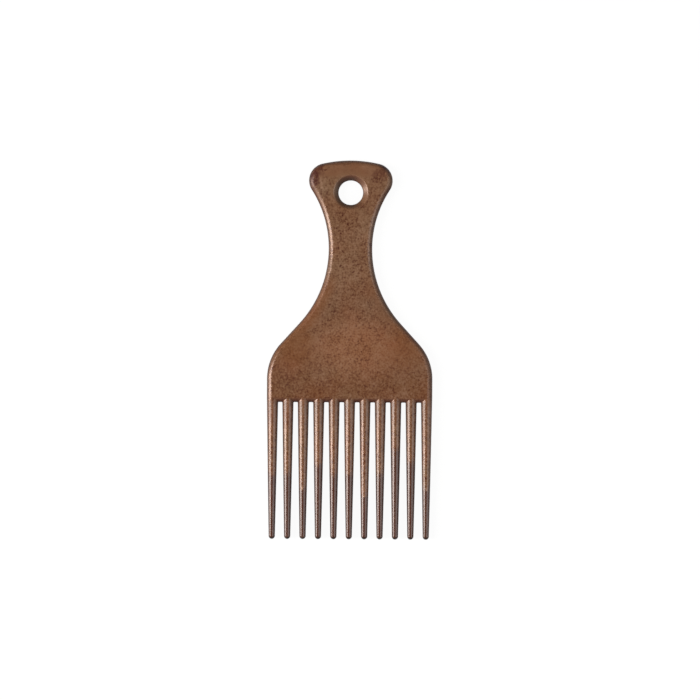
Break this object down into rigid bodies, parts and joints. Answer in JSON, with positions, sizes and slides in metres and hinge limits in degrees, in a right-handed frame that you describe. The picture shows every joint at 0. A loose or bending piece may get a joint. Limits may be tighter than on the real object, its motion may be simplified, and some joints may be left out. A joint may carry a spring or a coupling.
{
  "type": "afro pick",
  "caption": "Flat moulded hair pick with a waisted grip, a hanging hole in its spread head, and a wide blade with long tapered round teeth.",
  "frame": {"origin": "middle of the bounding box in X and Y, on the flat back face that it lies on (Z = 0)", "axes": "+X across the blade, +Y from the tooth tips to the crown of the head, +Z out of the front face"},
  "size_m": [0.072, 0.165, 0.0049],
  "materials": {
    "moulding": "satin brown plastic with a fine darker and paler mottle, smoother and glossier towards the tooth tips"
  },
  "bodies": {
    "root": {"head": "moulding", "grip": "moulding", "blade": "moulding", "tooth_01": "moulding", "tooth_02": "moulding", "tooth_03": "moulding", "tooth_04": "moulding", "tooth_05": "moulding", "tooth_06": "moulding", "tooth_07": "moulding", "tooth_08": "moulding", "tooth_09": "moulding", "tooth_10": "moulding", "tooth_11": "moulding"}
  },
  "joints": []
}
